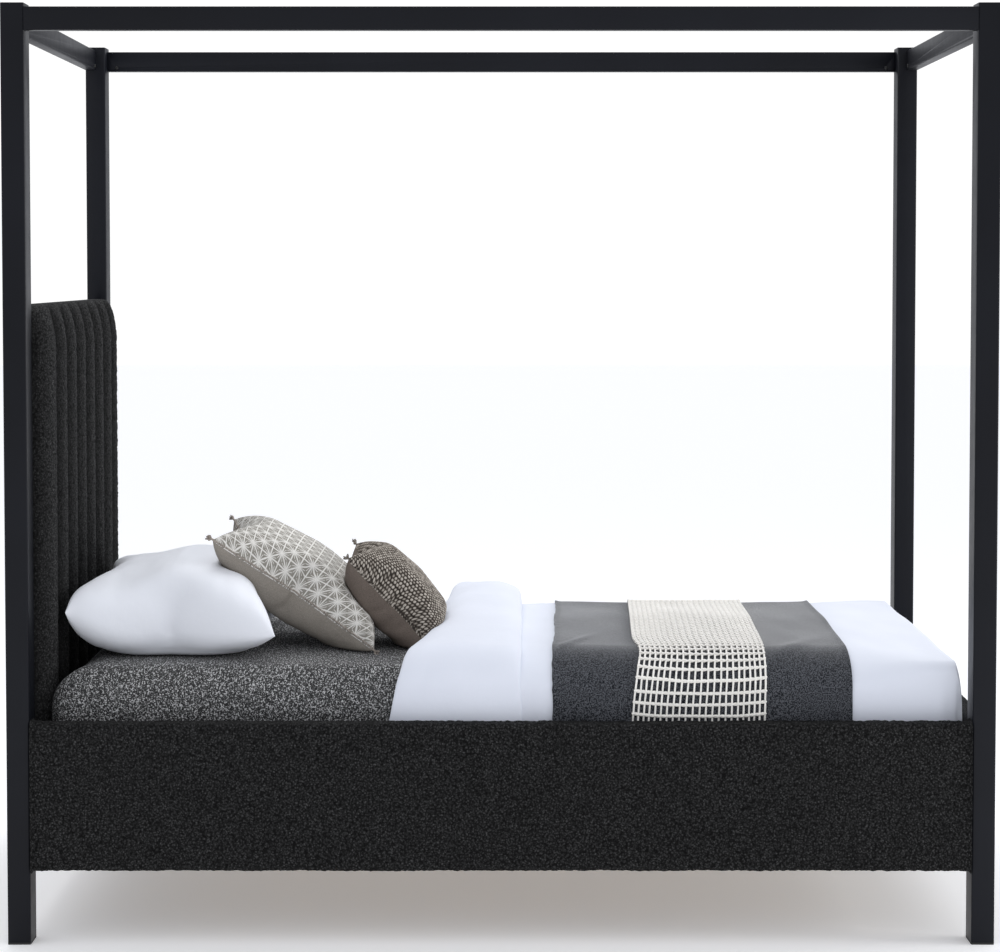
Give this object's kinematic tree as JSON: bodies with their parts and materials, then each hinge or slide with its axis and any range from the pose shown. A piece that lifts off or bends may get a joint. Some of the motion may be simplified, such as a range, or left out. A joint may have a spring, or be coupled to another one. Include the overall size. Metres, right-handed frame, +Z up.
{
  "type": "four poster canopy bed",
  "caption": "Canopy bed with square-tube steel posts and top rails, a channelled upholstered headboard, padded side rails, a slatted base, mattress and layered bedding.",
  "frame": {"origin": "on the floor at the centre of the footprint over the posts", "axes": "+X from the head to the foot, +Y to the right side seen from the foot end, facing the headboard, +Z up"},
  "size_m": [2.04, 1.1, 1.938],
  "materials": {
    "frame_metal": "satin black powder coat",
    "foot_plastic": "matte black moulded plastic",
    "screw_metal": "black oxide",
    "boucle": "looped charcoal boucle",
    "plywood": "bare plywood",
    "slat_wood": "planed pine",
    "mattress_knit": "heathered grey knit",
    "white_cotton": "smooth white cotton",
    "cushion_print": "printed cotton, cream lattice on beige",
    "cushion_weave": "chunky basket weave",
    "blanket_felt": "grey wool felt",
    "throw_knit": "open cream knit"
  },
  "bodies": {
    "frame": {"foot_plug_foot_left": "foot_plastic", "foot_plug_foot_right": "foot_plastic", "foot_plug_head_left": "foot_plastic", "foot_plug_head_right": "foot_plastic", "foot_rail_board": "plywood", "foot_rail_bracket_left": "frame_metal", "foot_rail_bracket_right": "frame_metal", "foot_rail_cover": "boucle", "headboard_board": "plywood", "headboard_bracket_left_lower": "frame_metal", "headboard_bracket_left_upper": "frame_metal", "headboard_bracket_right_lower": "frame_metal", "headboard_bracket_right_upper": "frame_metal", "headboard_pad": "boucle", "post_foot_left": "frame_metal", "post_foot_right": "frame_metal", "post_head_left": "frame_metal", "post_head_right": "frame_metal", "rail_bracket_foot_left": "frame_metal", "rail_bracket_foot_right": "frame_metal", "rail_bracket_head_left": "frame_metal", "rail_bracket_head_right": "frame_metal", "screw_end_foot_left": "screw_metal", "screw_end_foot_right": "screw_metal", "screw_end_head_left": "screw_metal", "screw_end_head_right": "screw_metal", "screw_long_foot_left": "screw_metal", "screw_long_foot_right": "screw_metal", "screw_long_head_left": "screw_metal", "screw_long_head_right": "screw_metal", "side_rail_board_left": "plywood", "side_rail_board_right": "plywood", "side_rail_cover_left": "boucle", "side_rail_cover_right": "boucle", "slat_01": "slat_wood", "slat_02": "slat_wood", "slat_03": "slat_wood", "slat_04": "slat_wood", "slat_05": "slat_wood", "slat_06": "slat_wood", "slat_07": "slat_wood", "slat_08": "slat_wood", "slat_09": "slat_wood", "slat_10": "slat_wood", "slat_11": "slat_wood", "slat_12": "slat_wood", "slat_ledge_left": "slat_wood", "slat_ledge_right": "slat_wood", "top_rail_foot": "frame_metal", "top_rail_head": "frame_metal", "top_rail_left": "frame_metal", "top_rail_right": "frame_metal"},
    "mattress": {"mattress": "mattress_knit", "duvet": "white_cotton", "blanket": "blanket_felt", "throw": "throw_knit"},
    "pillow": {"pillow": "white_cotton"},
    "printed_cushion": {"printed_cushion": "cushion_print"},
    "woven_cushion": {"woven_cushion": "cushion_weave"}
  },
  "joints": [
    {"name": "mattress_lift", "type": "slide", "parent": "frame", "child": "mattress", "axis": [0, 0, 1], "range_m": [0, 0.3]},
    {"name": "pillow_lift", "type": "slide", "parent": "mattress", "child": "pillow", "axis": [0, 0, 1], "range_m": [0, 0.2]},
    {"name": "printed_cushion_lift", "type": "slide", "parent": "pillow", "child": "printed_cushion", "axis": [0, 0, 1], "range_m": [0, 0.2]},
    {"name": "woven_cushion_lift", "type": "slide", "parent": "printed_cushion", "child": "woven_cushion", "axis": [0, 0, 1], "range_m": [0, 0.2]}
  ]
}
